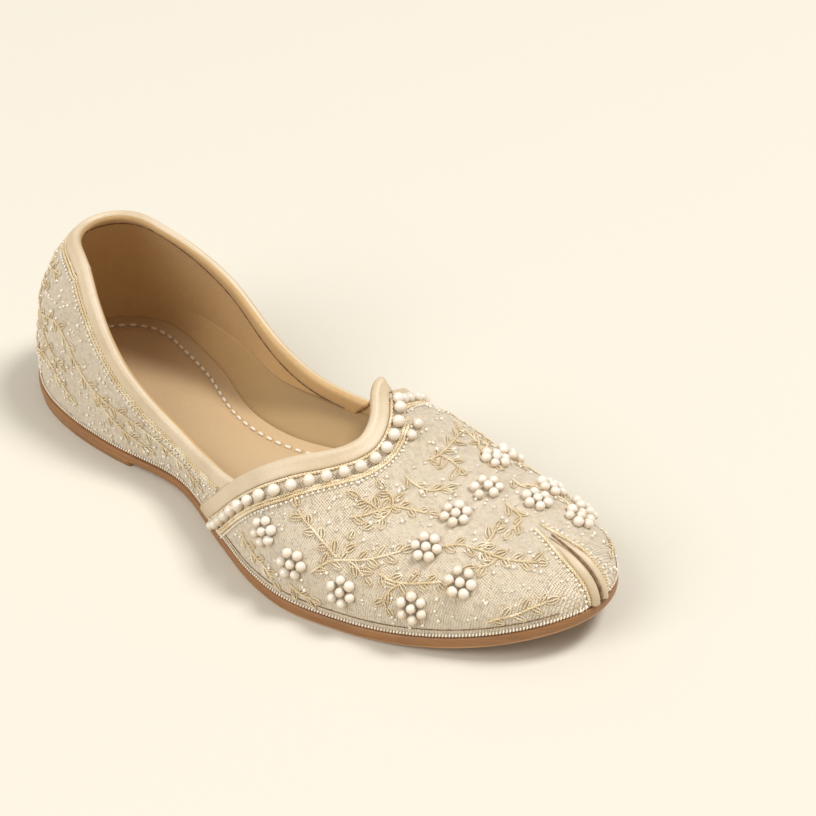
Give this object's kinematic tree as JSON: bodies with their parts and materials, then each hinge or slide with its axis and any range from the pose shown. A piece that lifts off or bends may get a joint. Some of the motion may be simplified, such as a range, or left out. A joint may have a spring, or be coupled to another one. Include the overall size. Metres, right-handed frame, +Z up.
{
  "type": "mojari shoe",
  "caption": "Flat slip-on mojari shoe: hollow embroidered upper with a peaked throat, bound collar, toe pipings, leather insole and sole with a low heel lift.",
  "frame": {"origin": "on the floor, under the middle of the shoe's bounding box", "axes": "+X towards the toe, +Y towards the wearer's other foot, +Z up"},
  "size_m": [0.2534, 0.0936, 0.064],
  "materials": {
    "upper_cloth": "ivory woven cloth with metallic thread",
    "sole_leather": "smooth waxed edge",
    "lift_leather": "smooth waxed edge",
    "insole_leather": "matt tan",
    "binding_leather": "soft cream",
    "piping_leather": "soft cream",
    "pearl": "pearl gloss",
    "gold_thread": "metallic cord"
  },
  "bodies": {
    "root": {"upper": "upper_cloth", "outsole": "sole_leather", "heel_lift": "lift_leather", "insole": "insole_leather", "collar_binding": "binding_leather", "throat_binding": "binding_leather", "side_strap_lateral": "binding_leather", "side_strap_medial": "binding_leather", "toe_piping_lateral": "piping_leather", "toe_piping_medial": "piping_leather"}
  },
  "joints": []
}
